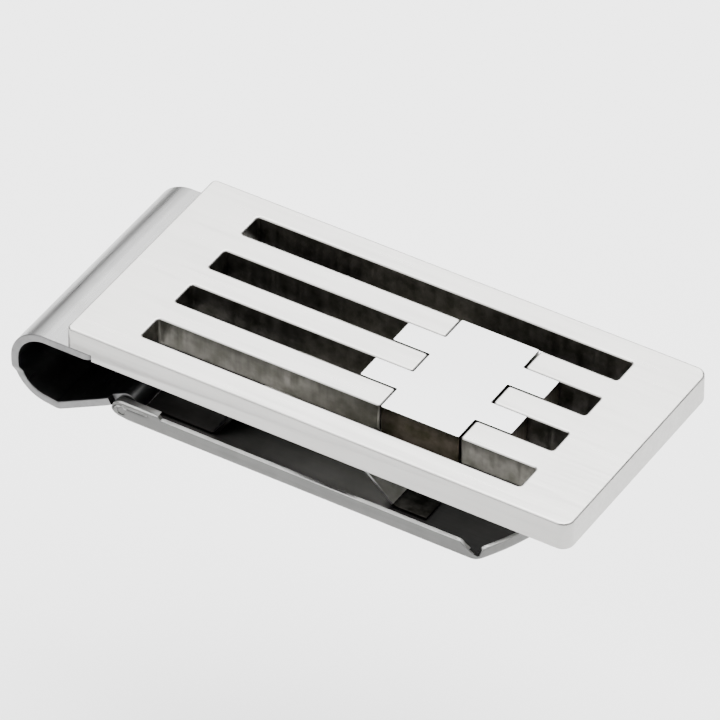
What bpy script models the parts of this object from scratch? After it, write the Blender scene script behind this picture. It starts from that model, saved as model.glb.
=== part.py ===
"""Money clip: a slotted steel face plate on a C-shaped spring band, with a hinged clamping arm.

Every length below is a drawing length in millimetres turned into metres by MM.  The drawing
measures x from the loop end of the face plate, y from the clip's long centre line and z from the
plate's outer face.  One empty carries that drawing to the part's own frame, whose origin is the
middle of the bounding box at its lowest level.
"""
import math

import bmesh
import bpy
from mathutils import Matrix, Vector

MM = 0.001

# Face plate and its four lengthwise slots
PLATE_LENGTH = 53.2 * MM
WIDTH = 25.4 * MM
PLATE_THICK = 3.06 * MM
PLATE_LOOP_CORNER = 0.5 * MM
PLATE_FREE_CORNER = 1.2 * MM
PLATE_EDGE = 0.2 * MM
SLOT_COUNT = 4
SLOT_PITCH = 5.74 * MM
SLOT_WIDTH = 2.9 * MM
SLOT_LENGTH = 40.2 * MM
SLOT_CORNER = 0.3 * MM
REBATE_LENGTH = 2.7 * MM

# Polished block let into the plate across the bars, with fingers in the two inner slots
POCKET_START = 30.2 * MM
POCKET_END = 38.7 * MM
BLOCK_GAP_LEFT = 0.1 * MM
BLOCK_GAP_RIGHT = 0.3 * MM
BLOCK_SIDE_GAP = 0.06 * MM
BLOCK_FINGER = 3.95 * MM
BLOCK_CORNER = 0.15 * MM

# C-shaped spring band: radii are those of its inner face
BAND_THICK = 0.82 * MM
BAND_LAP = 2.6 * MM
BAND_LAP_CORNER = 0.9 * MM
BAND_LAP_GAP = 0.05 * MM
UPPER_BEND_X = -2.35 * MM
UPPER_RADIUS = 3.05 * MM
SIDE_DROP = 0.35 * MM
LOWER_RADIUS = 3.25 * MM
LOWER_TURN = math.radians(82.0)
KINK_RUN = 1.0 * MM
KINK_RADIUS = 0.5 * MM
LEG_RISE = math.radians(27.6)
BAND_SHOULDER_Z = -7.2 * MM
BAND_STEP = 0.35 * MM
TONGUE_START = 4.4 * MM
TONGUE_STEP = 1.05 * MM

# Hinge pin, inside the band's rolled end and the arm's two ears
PIN_RADIUS = 0.4 * MM
PIN_CLEARANCE = 0.05 * MM
PIN_END_GAP = 0.05 * MM
PIN_X = 5.85 * MM
PIN_Z = -7.42 * MM
ROLL_TURN = math.radians(255.0)

# Clamping arm: a shallow tray of thin sheet, open towards the plate
ARM_SHEET = 0.45 * MM
ARM_BOTTOM = -8.6 * MM
ARM_BEND = 0.6 * MM
FLANGE_TOP = -6.69 * MM
FLANGE_END = 43.9 * MM
FLANGE_TAPER = 1.9 * MM
FLANGE_STUB = 0.08 * MM
FLOOR_START = 7.05 * MM
EAR_NOSE = 1.06 * MM
EAR_THICK = 0.85 * MM
EAR_END = 9.8 * MM
EAR_STEP = 0.4 * MM
ARM_TIP = 47.5 * MM
TIP_RADIUS = 23.2 * MM
RIM_TOP = -7.15 * MM
RIM_HALF_WIDTH = 11.8 * MM

# Leaf spring inside the arm: flat base, short steep ramp, gentle rise to a pressing line, foot
LEAF_THICK = 0.3 * MM
LEAF_GAP = 0.05 * MM
LEAF_PLATE_GAP = 0.1 * MM
LEAF_HALF_WIDTH = 10.5 * MM
LEAF_START = 7.2 * MM
LEAF_RISE_X = 14.5 * MM
LEAF_RISE_ANGLE = math.radians(54.5)
LEAF_SHOULDER_Z = -5.1 * MM
LEAF_FALL_X = 28.8 * MM
LEAF_FALL_ANGLE = math.radians(43.0)
LEAF_FOOT = 3.4 * MM
LEAF_BEND = 0.5 * MM

ARC_STEP = math.radians(9.0)
ROUND_SIDES = 32

HALF_WIDTH = WIDTH / 2
ARM_FLOOR = ARM_BOTTOM + ARM_SHEET
EAR_TOP = PIN_Z + EAR_NOSE
EAR_INNER = HALF_WIDTH - EAR_THICK
LOOP_CENTRE_Z = -PLATE_THICK - UPPER_RADIUS
LOWER_CENTRE_X = UPPER_BEND_X - UPPER_RADIUS + LOWER_RADIUS
LOWER_CENTRE_Z = LOOP_CENTRE_Z - SIDE_DROP
LOOP_REACH = UPPER_RADIUS + BAND_THICK - UPPER_BEND_X
PAST = 1.0 * MM


def wipe_scene():
    for old in list(bpy.data.objects):
        bpy.data.objects.remove(old)


def new_collection(name):
    group = bpy.data.collections.new(name)
    bpy.context.scene.collection.children.link(group)
    return group


def steel(name, colour, roughness):
    """A metallic Principled material."""
    material = bpy.data.materials.new(name)
    material.use_nodes = True
    shader = material.node_tree.nodes["Principled BSDF"]
    shader.inputs["Base Color"].default_value = (*colour, 1.0)
    shader.inputs["Roughness"].default_value = roughness
    shader.inputs["Metallic"].default_value = 1.0
    return material


def arc(centre, radius, start, end):
    """Points on an arc from one angle to another, both ends included."""
    steps = max(2, math.ceil(abs(end - start) / ARC_STEP))
    angles = [start + (end - start) * i / steps for i in range(steps + 1)]
    return [(centre[0] + radius * math.cos(a), centre[1] + radius * math.sin(a)) for a in angles]


def rounded(corners, radii):
    """A closed outline with every corner turned into an arc of its own radius."""
    outline = []
    for i, (corner, radius) in enumerate(zip(corners, radii)):
        here = Vector(corner)
        back = (Vector(corners[i - 1]) - here).normalized()
        ahead = (Vector(corners[(i + 1) % len(corners)]) - here).normalized()
        half = back.angle(ahead) / 2
        centre = here + (back + ahead).normalized() * radius / math.sin(half)
        start = here + back * radius / math.tan(half) - centre
        end = here + ahead * radius / math.tan(half) - centre
        first = math.atan2(start.y, start.x)
        turn = math.remainder(math.atan2(end.y, end.x) - first, math.tau)
        outline += arc(centre, radius, first, first + turn)
    return outline


class SheetPath:
    """The middle line of a bent strip, drawn as straight runs and bends."""

    def __init__(self, x, z, heading, thickness):
        self.at = Vector((x, z))
        self.heading = heading
        self.thickness = thickness
        self.points = []
        self.mark()

    def mark(self):
        normal = Vector((-math.sin(self.heading), math.cos(self.heading)))
        self.points.append((self.at.copy(), normal))

    def run(self, length):
        self.at += Vector((math.cos(self.heading), math.sin(self.heading))) * length
        self.mark()

    def bend(self, inner_radius, turn):
        """Turn by an angle, left when positive, with this radius on the inner face."""
        side = math.copysign(1.0, turn)
        radius = inner_radius + self.thickness / 2
        normal = Vector((-math.sin(self.heading), math.cos(self.heading)))
        centre = self.at + normal * radius * side
        steps = max(2, math.ceil(abs(turn) / ARC_STEP))
        for _ in range(steps):
            self.heading += turn / steps
            normal = Vector((-math.sin(self.heading), math.cos(self.heading)))
            self.at = centre - normal * radius * side
            self.mark()

    def outline(self):
        half = self.thickness / 2
        left = [point + normal * half for point, normal in self.points]
        right = [point - normal * half for point, normal in self.points]
        return [tuple(p) for p in left + right[::-1]]


def slab(name, outlines, thickness, group, upright=False):
    """A flat outline with any holes, given a thickness about its own plane.

    Outlines lie in x and y, or, when upright, in x and z.
    """
    curve = bpy.data.curves.new(name + "_outline", "CURVE")
    curve.dimensions = "2D"
    curve.fill_mode = "BOTH"
    curve.extrude = thickness / 2
    for outline in outlines:
        spline = curve.splines.new("POLY")
        spline.points.add(len(outline) - 1)
        for point, (a, b) in zip(spline.points, outline):
            point.co = (a, b, 0.0, 1.0)
        spline.use_cyclic_u = True
    drawn = bpy.data.objects.new(name + "_drawn", curve)
    if upright:
        drawn.rotation_euler = (math.radians(90.0), 0.0, 0.0)
    bpy.context.scene.collection.objects.link(drawn)
    bpy.context.view_layer.update()
    evaluated = drawn.evaluated_get(bpy.context.evaluated_depsgraph_get())
    mesh = bpy.data.meshes.new_from_object(evaluated)
    mesh.name = name
    mesh.transform(drawn.matrix_world)
    edit_mesh(mesh, lambda bm: bmesh.ops.remove_doubles(bm, verts=bm.verts, dist=1e-7))
    bpy.data.objects.remove(drawn)
    piece = bpy.data.objects.new(name, mesh)
    group.objects.link(piece)
    return piece


def edit_mesh(mesh, action):
    bm = bmesh.new()
    bm.from_mesh(mesh)
    action(bm)
    bmesh.ops.recalc_face_normals(bm, faces=bm.faces)
    bm.to_mesh(mesh)
    bm.free()


def box(name, low, high, group):
    """A box between two opposite corners."""
    mesh = bpy.data.meshes.new(name)
    size = Vector(high) - Vector(low)
    centre = (Vector(high) + Vector(low)) / 2
    place = Matrix.Translation(centre) @ Matrix.Diagonal((*size, 1.0))
    edit_mesh(mesh, lambda bm: bmesh.ops.create_cube(bm, size=1.0, matrix=place))
    piece = bpy.data.objects.new(name, mesh)
    group.objects.link(piece)
    return piece


def cross_rod(name, radius, length, group):
    """A round rod along y, centred on the hinge axis."""
    mesh = bpy.data.meshes.new(name)
    place = Matrix.Translation((PIN_X, 0.0, PIN_Z)) @ Matrix.Rotation(math.radians(90.0), 4, "X")

    def draw(bm):
        bmesh.ops.create_cone(
            bm, cap_ends=True, segments=ROUND_SIDES, radius1=radius, radius2=radius,
            depth=length, matrix=place)

    edit_mesh(mesh, draw)
    piece = bpy.data.objects.new(name, mesh)
    group.objects.link(piece)
    return piece


def combine(piece, other, operation):
    """A Boolean on the piece; the other shape is only a construction shape."""
    modifier = piece.modifiers.new(other.name, "BOOLEAN")
    modifier.operation = operation
    modifier.solver = "EXACT"
    modifier.object = other


def soften(piece, width):
    """A small bevel on the sharp edges."""
    modifier = piece.modifiers.new("edge_break", "BEVEL")
    modifier.width = width
    modifier.segments = 1
    modifier.limit_method = "ANGLE"
    modifier.angle_limit = math.radians(50.0)


def side_trim(piece, name, x_range, z_range, half_width, tools):
    """Cut both long edges of a piece back to a half width, over part of its length."""
    for side, label in ((1.0, "right"), (-1.0, "left")):
        inner = half_width * side
        outer = (HALF_WIDTH + PAST) * side
        low = (x_range[0], min(inner, outer), z_range[0])
        high = (x_range[1], max(inner, outer), z_range[1])
        combine(piece, box(f"{name}_{label}", low, high, tools), "DIFFERENCE")


def slot_centres():
    return [(i - (SLOT_COUNT - 1) / 2) * SLOT_PITCH for i in range(SLOT_COUNT)]


def slot_comb():
    """The single opening formed by the slots and the pocket that cuts through their bars."""
    start = (PLATE_LENGTH - SLOT_LENGTH) / 2
    end = start + SLOT_LENGTH
    half = SLOT_WIDTH / 2
    centres = slot_centres()
    corners = []
    for centre in centres:
        near, far = centre - half, centre + half
        if centre != centres[0]:
            corners.append((POCKET_END, near))
        corners += [(end, near), (end, far)]
        if centre != centres[-1]:
            corners.append((POCKET_END, far))
    for centre in reversed(centres):
        near, far = centre - half, centre + half
        if centre != centres[-1]:
            corners.append((POCKET_START, far))
        corners += [(start, far), (start, near)]
        if centre != centres[0]:
            corners.append((POCKET_START, near))
    return rounded(corners, [SLOT_CORNER] * len(corners))


def make_face_plate(parts, tools):
    edges = [(0.0, -HALF_WIDTH), (PLATE_LENGTH, -HALF_WIDTH),
             (PLATE_LENGTH, HALF_WIDTH), (0.0, HALF_WIDTH)]
    radii = [PLATE_LOOP_CORNER, PLATE_FREE_CORNER, PLATE_FREE_CORNER, PLATE_LOOP_CORNER]
    outlines = [rounded(edges, radii), slot_comb()]
    plate = slab("face_plate", outlines, PLATE_THICK, parts)
    plate.data.transform(Matrix.Translation((0.0, 0.0, -PLATE_THICK / 2)))
    ceiling = -PLATE_THICK + BAND_THICK + BAND_LAP_GAP
    rebate = box("rebate_cutter", (-PAST, -HALF_WIDTH - PAST, -PLATE_THICK - PAST),
                 (REBATE_LENGTH, HALF_WIDTH + PAST, ceiling), tools)
    combine(plate, rebate, "DIFFERENCE")
    soften(plate, PLATE_EDGE)
    return plate


def make_inlay_block(parts):
    """The block fills the pocket from the first slot's far side to the last slot's near side."""
    left = POCKET_START + BLOCK_GAP_LEFT
    right = POCKET_END - BLOCK_GAP_RIGHT
    centres = slot_centres()
    reach = centres[-1] - SLOT_WIDTH / 2
    half = SLOT_WIDTH / 2 - BLOCK_SIDE_GAP
    corners = [(left, -reach), (right, -reach)]
    for centre in centres[1:-1]:
        corners += [(right, centre - half), (right + BLOCK_FINGER, centre - half),
                    (right + BLOCK_FINGER, centre + half), (right, centre + half)]
    corners += [(right, reach), (left, reach)]
    for centre in reversed(centres[1:-1]):
        corners += [(left, centre + half), (left - BLOCK_FINGER, centre + half),
                    (left - BLOCK_FINGER, centre - half), (left, centre - half)]
    outline = rounded(corners, [BLOCK_CORNER] * len(corners))
    block = slab("inlay_block", [outline], PLATE_THICK, parts)
    block.data.transform(Matrix.Translation((0.0, 0.0, -PLATE_THICK / 2)))
    return block


def band_path():
    """From the end lapped under the plate, round the loop, up the leg and round the pin."""
    path = SheetPath(BAND_LAP, -PLATE_THICK + BAND_THICK / 2, math.pi, BAND_THICK)
    path.run(BAND_LAP - UPPER_BEND_X)
    path.bend(UPPER_RADIUS, math.radians(90.0))
    path.run(SIDE_DROP)
    path.bend(LOWER_RADIUS, LOWER_TURN)
    path.run(KINK_RUN)
    to_leg = LEG_RISE - (path.heading - math.tau)
    path.bend(KINK_RADIUS, to_leg)
    along = Vector((math.cos(path.heading), math.sin(path.heading)))
    to_pin = Vector((PIN_X, PIN_Z)) - path.at
    path.run(to_pin.dot(along))
    path.bend(PIN_RADIUS + PIN_CLEARANCE, -ROLL_TURN)
    return path


def lap_corner_edges(bm):
    """The two short upright edges at the band's end under the plate."""
    end_x = max(v.co.x for v in bm.verts if v.co.z > -PLATE_THICK - BAND_LAP_GAP)
    corners = [e for e in bm.edges if all(
        v.co.x > end_x - BAND_LAP_GAP and v.co.z > -PLATE_THICK - BAND_LAP_GAP for v in e.verts)]
    return [e for e in corners if e.calc_length() < 2 * BAND_THICK]


def make_spring_loop(parts, tools):
    loop = slab("spring_loop", [band_path().outline()], WIDTH, parts, upright=True)

    def round_lap_end(bm):
        bmesh.ops.bevel(bm, geom=lap_corner_edges(bm), offset=BAND_LAP_CORNER, segments=4,
                        profile=0.5, affect="EDGES")

    edit_mesh(loop.data, round_lap_end)
    low = -4 * UPPER_RADIUS
    narrow = HALF_WIDTH - BAND_STEP
    side_trim(loop, "shoulder_cutter", (-LOOP_REACH - PAST, UPPER_BEND_X),
              (low, BAND_SHOULDER_Z), narrow, tools)
    side_trim(loop, "leg_cutter", (UPPER_BEND_X - PAST, TONGUE_START + PAST),
              (low, LOOP_CENTRE_Z + PAST), narrow, tools)
    side_trim(loop, "tongue_cutter", (TONGUE_START, PIN_X + 2 * EAR_NOSE),
              (low, LOOP_CENTRE_Z + PAST), HALF_WIDTH - TONGUE_STEP, tools)
    return loop


def make_hinge_pin(parts):
    return cross_rod("hinge_pin", PIN_RADIUS, WIDTH - 2 * PIN_END_GAP, parts)


def side_profile():
    """Side view of the arm: round nose, ear, lower flange and its tapered front end."""
    past_tip = ARM_TIP + PAST
    below = ARM_BOTTOM - PAST
    stub = ARM_FLOOR + FLANGE_STUB
    outline = arc((PIN_X, PIN_Z), EAR_NOSE, math.radians(90.0), math.radians(270.0))
    return outline + [
        (PIN_X + EAR_NOSE, below), (past_tip, below), (past_tip, stub), (FLANGE_END, stub),
        (FLANGE_END - FLANGE_TAPER, FLANGE_TOP), (EAR_END + EAR_STEP, FLANGE_TOP),
        (EAR_END, EAR_TOP)]


def channel_section():
    """Cross section of the arm, drawn in y and z: a U of bent sheet, open at the top."""
    outer = HALF_WIDTH
    inner = HALF_WIDTH - ARM_SHEET
    bend_in = ARM_BEND - ARM_SHEET
    centre_y = outer - ARM_BEND
    centre_z = ARM_BOTTOM + ARM_BEND
    top = EAR_TOP + PAST
    right, down, left = 0.0, math.radians(-90.0), math.radians(-180.0)
    outline = [(-outer, top)]
    outline += arc((-centre_y, centre_z), ARM_BEND, left, down)
    outline += arc((centre_y, centre_z), ARM_BEND, down, right)
    outline += [(outer, top), (inner, top)]
    outline += arc((centre_y, centre_z), bend_in, right, down)
    outline += arc((-centre_y, centre_z), bend_in, down, left)
    outline += [(-inner, top)]
    return outline


def tip_arc(radius, half_width):
    """The curve of the arm's rounded end in plan, between two opposite widths."""
    reach = math.asin(half_width / radius)
    return arc((ARM_TIP - TIP_RADIUS, 0.0), radius, -reach, reach)


def add_ears(arm, tools):
    """The doubled sheet of the two ears, inside the flanges."""
    low = (ARM_BOTTOM + ARM_FLOOR) / 2
    high = EAR_TOP + PAST / 2
    buried = HALF_WIDTH - ARM_SHEET / 2
    combine(arm, box("ear_right_shape", (PIN_X - 2 * EAR_NOSE, EAR_INNER, low),
                     (EAR_END, buried, high), tools), "UNION")
    combine(arm, box("ear_left_shape", (PIN_X - 2 * EAR_NOSE, -buried, low),
                     (EAR_END, -EAR_INNER, high), tools), "UNION")


def add_rim(arm, tools):
    """The turned-up edge round the arm's free end."""
    inner = tip_arc(TIP_RADIUS - ARM_SHEET, RIM_HALF_WIDTH)
    outer = tip_arc(TIP_RADIUS + PAST, RIM_HALF_WIDTH)
    low = (ARM_BOTTOM + ARM_FLOOR) / 2
    rim = slab("rim_shape", [inner + outer[::-1]], RIM_TOP - low, tools)
    rim.data.transform(Matrix.Translation((0.0, 0.0, (RIM_TOP + low) / 2)))
    combine(arm, rim, "UNION")


def make_clamp_arm(parts, tools):
    length = ARM_TIP + PAST
    arm = slab("clamp_arm", [channel_section()], length, parts, upright=True)
    arm.data.transform(Matrix.Rotation(math.radians(90.0), 4, "Z"))
    arm.data.transform(Matrix.Translation((length / 2, 0.0, 0.0)))
    floor_cut = HALF_WIDTH - ARM_BEND - FLANGE_STUB
    combine(arm, box("hinge_gap_cutter", (-PAST, -floor_cut, ARM_BOTTOM - PAST),
                     (FLOOR_START, floor_cut, EAR_TOP), tools), "DIFFERENCE")
    add_ears(arm, tools)
    side = slab("arm_side_shape", [side_profile()], WIDTH + PAST, tools, upright=True)
    combine(arm, side, "INTERSECT")
    add_rim(arm, tools)
    plan = [(0.0, HALF_WIDTH + PAST), (0.0, -HALF_WIDTH - PAST)]
    plan += tip_arc(TIP_RADIUS, HALF_WIDTH + PAST)
    combine(arm, slab("arm_plan_shape", [plan], -4 * ARM_BOTTOM, tools), "INTERSECT")
    combine(arm, cross_rod("arm_pin_hole", PIN_RADIUS + PIN_CLEARANCE, WIDTH + PAST, tools),
            "DIFFERENCE")
    return arm


def path_through(corners, bend_radius, thickness):
    """A strip's middle line through corner points, each turned into a bend."""
    runs = [Vector(b) - Vector(a) for a, b in zip(corners, corners[1:])]
    path = SheetPath(*corners[0], math.atan2(runs[0].y, runs[0].x), thickness)
    used = 0.0
    for before, after in zip(runs, runs[1:]):
        turn = math.atan2(before.x * after.y - before.y * after.x, before.dot(after))
        set_back = (bend_radius + thickness / 2) * math.tan(abs(turn) / 2)
        path.run(before.length - used - set_back)
        path.bend(bend_radius, turn)
        used = set_back
    path.run(runs[-1].length - used)
    return path


def leaf_path():
    """Flat base, short steep ramp, long gentle rise to the pressing line, fall and foot."""
    base_z = ARM_FLOOR + LEAF_GAP + LEAF_THICK / 2
    crest_z = -PLATE_THICK - LEAF_PLATE_GAP - LEAF_THICK / 2
    shoulder_x = LEAF_RISE_X + (LEAF_SHOULDER_Z - base_z) / math.tan(LEAF_RISE_ANGLE)
    foot_x = LEAF_FALL_X + (crest_z - base_z) / math.tan(LEAF_FALL_ANGLE)
    corners = [(LEAF_START, base_z), (LEAF_RISE_X, base_z), (shoulder_x, LEAF_SHOULDER_Z),
               (LEAF_FALL_X, crest_z), (foot_x, base_z), (foot_x + LEAF_FOOT, base_z)]
    return path_through(corners, LEAF_BEND, LEAF_THICK)


def make_leaf_spring(parts):
    return slab("leaf_spring", [leaf_path().outline()], 2 * LEAF_HALF_WIDTH, parts, upright=True)


def lowest_level():
    return min(z for _, z in band_path().outline())


def axis_empty(name, location, parent):
    """An empty standing at a drawing position, carried by its parent."""
    empty = bpy.data.objects.new(name, None)
    empty.empty_display_size = 2 * MM
    empty.location = location
    bpy.context.scene.collection.objects.link(empty)
    empty.parent = parent
    bpy.context.view_layer.update()
    return empty


def carry(piece, empty, drawing):
    """Hang a piece, drawn in drawing coordinates, on an empty without moving it."""
    piece.parent = empty
    piece.matrix_parent_inverse = empty.matrix_world.inverted() @ drawing.matrix_world


def finish_surface(piece, material):
    piece.data.materials.clear()
    piece.data.materials.append(material)
    piece.data.shade_smooth()
    piece.data.set_sharp_from_angle(angle=math.radians(30.0))


def build():
    wipe_scene()
    parts = new_collection("money_clip")
    tools = new_collection("cutters")

    middle_x = (PLATE_LENGTH - LOOP_REACH) / 2
    drawing = axis_empty("drawing", (-middle_x, 0.0, -lowest_level()), None)
    loop_axis = axis_empty("loop_axis", (LOWER_CENTRE_X, 0.0, LOWER_CENTRE_Z), drawing)
    hinge_place = (PIN_X - LOWER_CENTRE_X, 0.0, PIN_Z - LOWER_CENTRE_Z)
    hinge_axis = axis_empty("hinge_axis", hinge_place, loop_axis)

    satin = steel("satin_steel", (0.66, 0.65, 0.63), 0.38)
    polished = steel("polished_steel", (0.80, 0.81, 0.83), 0.08)
    spring = steel("spring_steel", (0.60, 0.60, 0.59), 0.32)
    brushed = steel("brushed_steel", (0.55, 0.55, 0.54), 0.42)

    pieces = [
        (make_face_plate(parts, tools), drawing, satin),
        (make_inlay_block(parts), drawing, polished),
        (make_spring_loop(parts, tools), drawing, spring),
        (make_hinge_pin(parts), loop_axis, polished.copy()),
        (make_clamp_arm(parts, tools), hinge_axis, brushed),
        (make_leaf_spring(parts), hinge_axis, spring.copy()),
    ]
    for piece, empty, material in pieces:
        carry(piece, empty, drawing)
        finish_surface(piece, material)
    for tool in tools.objects:
        carry(tool, drawing, drawing)
        tool.display_type = "WIRE"
        tool.hide_render = True
    bpy.context.view_layer.update()


build()
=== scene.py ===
"""Money clip, finished look: finely rounded sheet-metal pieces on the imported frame, in a white studio.

Shapes are drawn in millimetres: x from the loop end of the face plate, y from the clip's long
centre line, z from the plate's outer face.  TO_ROW carries them to the part's own frame.
The studio at the end is laid out in metres, in the part's own frame.
"""
import math

import bmesh
import bpy
from mathutils import Matrix, Vector
from mathutils.geometry import delaunay_2d_cdt


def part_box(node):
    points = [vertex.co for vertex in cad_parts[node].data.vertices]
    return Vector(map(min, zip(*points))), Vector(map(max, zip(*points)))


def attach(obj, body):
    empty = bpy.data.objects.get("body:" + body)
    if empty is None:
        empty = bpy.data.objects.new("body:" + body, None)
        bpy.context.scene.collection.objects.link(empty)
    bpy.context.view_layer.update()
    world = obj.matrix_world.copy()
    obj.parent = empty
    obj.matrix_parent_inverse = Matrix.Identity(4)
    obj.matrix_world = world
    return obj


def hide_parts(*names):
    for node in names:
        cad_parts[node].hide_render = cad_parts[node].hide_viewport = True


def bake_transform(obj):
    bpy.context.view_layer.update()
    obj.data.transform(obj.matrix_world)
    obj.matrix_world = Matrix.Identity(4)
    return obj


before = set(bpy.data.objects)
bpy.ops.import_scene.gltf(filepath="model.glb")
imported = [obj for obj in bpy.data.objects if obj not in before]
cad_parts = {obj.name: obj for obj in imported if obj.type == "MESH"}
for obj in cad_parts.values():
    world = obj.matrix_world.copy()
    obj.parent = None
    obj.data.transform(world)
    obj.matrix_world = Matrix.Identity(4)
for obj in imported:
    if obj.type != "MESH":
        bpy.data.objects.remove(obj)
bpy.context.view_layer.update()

MM = 0.001

# Face plate
PLATE_LENGTH = 53.2
HALF_WIDTH = 12.7
PLATE_THICK = 3.06
PLATE_LOOP_CORNER = 0.5
PLATE_FREE_CORNER = 1.2
PLATE_EDGE = 0.22
SLOT_COUNT = 4
SLOT_PITCH = 5.74
SLOT_WIDTH = 2.9
SLOT_LENGTH = 40.2
SLOT_CORNER = 0.3
SLOT_START = (PLATE_LENGTH - SLOT_LENGTH) / 2
SLOT_CENTRES = [(i - (SLOT_COUNT - 1) / 2) * SLOT_PITCH for i in range(SLOT_COUNT)]
REBATE_LENGTH = 2.7

# Polished block
POCKET_START = 30.2
POCKET_END = 38.7
BLOCK_GAP_LEFT = 0.1
BLOCK_GAP_RIGHT = 0.18
BLOCK_SIDE_GAP = 0.06
BLOCK_FINGER_LEFT = 3.95
BLOCK_FINGER_RIGHT = 3.83
BLOCK_CORNER = 0.15
BLOCK_EDGE = 0.05

# Spring band
BAND_THICK = 0.82
BAND_LAP = 2.6
BAND_LAP_CORNER = 0.8
LAP_CORNER_SHARES = (0.04, 0.1, 0.2, 0.3, 0.4, 0.6, 1.0)
BAND_EDGE = 0.12
UPPER_BEND_X = -2.35
UPPER_RADIUS = 3.05
SIDE_DROP = 0.35
LOWER_RADIUS = 3.25
LOWER_TURN = math.radians(82.0)
KINK_RUN = 1.0
KINK_RADIUS = 0.5
LEG_RISE = math.radians(27.6)
BAND_STEP = 0.35
BAND_SHOULDER_Z = -7.2
BAND_SHOULDER_DROP = 0.7
TONGUE_START = 4.4
TONGUE_STEP = 1.05
TONGUE_SHOULDER = 0.12

# Hinge
PIN_RADIUS = 0.4
PIN_CLEARANCE = 0.02
PIN_X = 5.85
PIN_Z = -7.42
PIN_HALF = 12.65
PIN_EDGE = 0.02
ROLL_CLEARANCE = 0.05
ROLL_TURN = math.radians(255.0)

# Clamping arm
ARM_SHEET = 0.45
ARM_BOTTOM = -8.6
ARM_BEND = 0.6
ARM_EDGE = 0.09
EDGE_SHARE = 0.2
INNER_BEND_MIN = 0.02
FLANGE_TOP = -6.69
FLANGE_LEVEL_END = 42.0
FLOOR_START = 6.96
FLOOR_INSET = 1.05
FLOOR_LIP = 0.36
ARM_TIP = 47.5
TIP_RADIUS = 23.2
TIP_FILLET = 1.35

# The arm's ears, with a bead along their top and a groove under it
EAR_NOSE = 1.06
EAR_THICK = 0.85
EAR_END = 9.8
EAR_STEP = 0.35
EAR_BASE_RUN = 0.6
EAR_CHAMFER = 0.05
NOSE_BEND_SHARE = 0.55
BEAD_END = 8.9
BEAD_FADE_BEFORE = 0.6
BEAD_FADE_AFTER = 0.3
BEAD_EDGE = 0.2
BEAD_WIDTH = 0.5
GROOVE_DEPTH = 0.16
GROOVE_SPREAD = 0.28
GROOVE_MIN_WALL = 0.6

# The arm's V-shaped notches and turned-up rim, measured along its edge from the notch
NOTCH_TOP = -7.93
NOTCH_OFFSET = 0.85
NOTCH_FLAT = 0.12
RIM_TOP = -7.15
RIM_SHOULDER = 0.5
RIM_SHOULDER_DROP = 0.12
RIM_START = 0.75

# Leaf spring
LEAF_THICK = 0.3
LEAF_GAP = 0.05
LEAF_PLATE_GAP = 0.1
LEAF_HALF_WIDTH = 10.5
LEAF_START = 7.2
LEAF_RISE_X = 14.5
LEAF_RISE_ANGLE = math.radians(54.5)
LEAF_SHOULDER_Z = -5.1
LEAF_FALL_X = 28.8
LEAF_FALL_ANGLE = math.radians(43.0)
LEAF_FOOT = 3.4
LEAF_BEND = 0.5
LEAF_EDGE = 0.06

# Fineness of the drawing
FINE = math.radians(3.0)
COARSE = math.radians(10.0)
EDGE_STEPS = 4
ARM_BEND_STEPS = 5
WALL_STEPS = 10
ROD_SIDES = 48
FLAT_BORDER = 0.03
MITRE_LIMIT = 0.25
MERGE_DISTANCE = 1e-5
CUT_MARGIN = 1.0
NOSE_DEGREES = (1, 5, 10, 18, 27, 36, 45, 55, 65, 77, 90)
ARM_SIDE_STATIONS = (6.4, 6.9, 8.0, 12.0, 18.0, 26.0, 34.0)
FLANGE_END_STATIONS = (-0.4, -0.15, 0.1, 0.4)
STATION_STEP = 0.01
STATION_TOLERANCE = 0.005
FILL_START = 0.06
CORNER_STATIONS = 16
TIP_STATIONS = 56

plate_low, plate_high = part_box("face_plate")
TO_ROW = Matrix.Translation((plate_low.x, 0.0, plate_high.z)) @ Matrix.Scale(MM, 4)


# ---------------------------------------------------------------- drawing

def clamp(value):
    return min(1.0, max(0.0, value))


def blend_value(x, points):
    """Straight-line value between listed (position, value) pairs."""
    for (x0, v0), (x1, v1) in zip(points, points[1:]):
        if x <= x1:
            return v0 + (v1 - v0) * max(0.0, x - x0) / (x1 - x0)
    return points[-1][1]


def quarter_turn(steps):
    """Angles from 0 to 90 degrees in equal steps."""
    return [math.radians(90.0) * i / steps for i in range(steps + 1)]


def arc(centre, radius, start, end, step):
    """Points on a circle from one angle to another, no further apart than a step."""
    steps = max(2, math.ceil(abs(end - start) / step))
    angles = [start + (end - start) * i / steps for i in range(steps + 1)]
    return [(centre[0] + radius * math.cos(a), centre[1] + radius * math.sin(a)) for a in angles]


def rounded(corners, radii, step=COARSE):
    """A closed outline with every corner turned into an arc of its own radius."""
    outline = []
    for i, (corner, radius) in enumerate(zip(corners, radii)):
        here = Vector(corner)
        back = (Vector(corners[i - 1]) - here).normalized()
        ahead = (Vector(corners[(i + 1) % len(corners)]) - here).normalized()
        half = back.angle(ahead) / 2
        centre = here + (back + ahead).normalized() * radius / math.sin(half)
        start = here + back * radius / math.tan(half) - centre
        end = here + ahead * radius / math.tan(half) - centre
        first = math.atan2(start.y, start.x)
        turn = math.remainder(math.atan2(end.y, end.x) - first, math.tau)
        outline += arc(centre, radius, first, first + turn, step)
    return outline


def signed_area(outline):
    """Area inside a closed outline, above zero when it runs anticlockwise."""
    return sum(a[0] * b[1] - b[0] * a[1] for a, b in zip(outline, outline[1:] + outline[:1])) / 2


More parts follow.
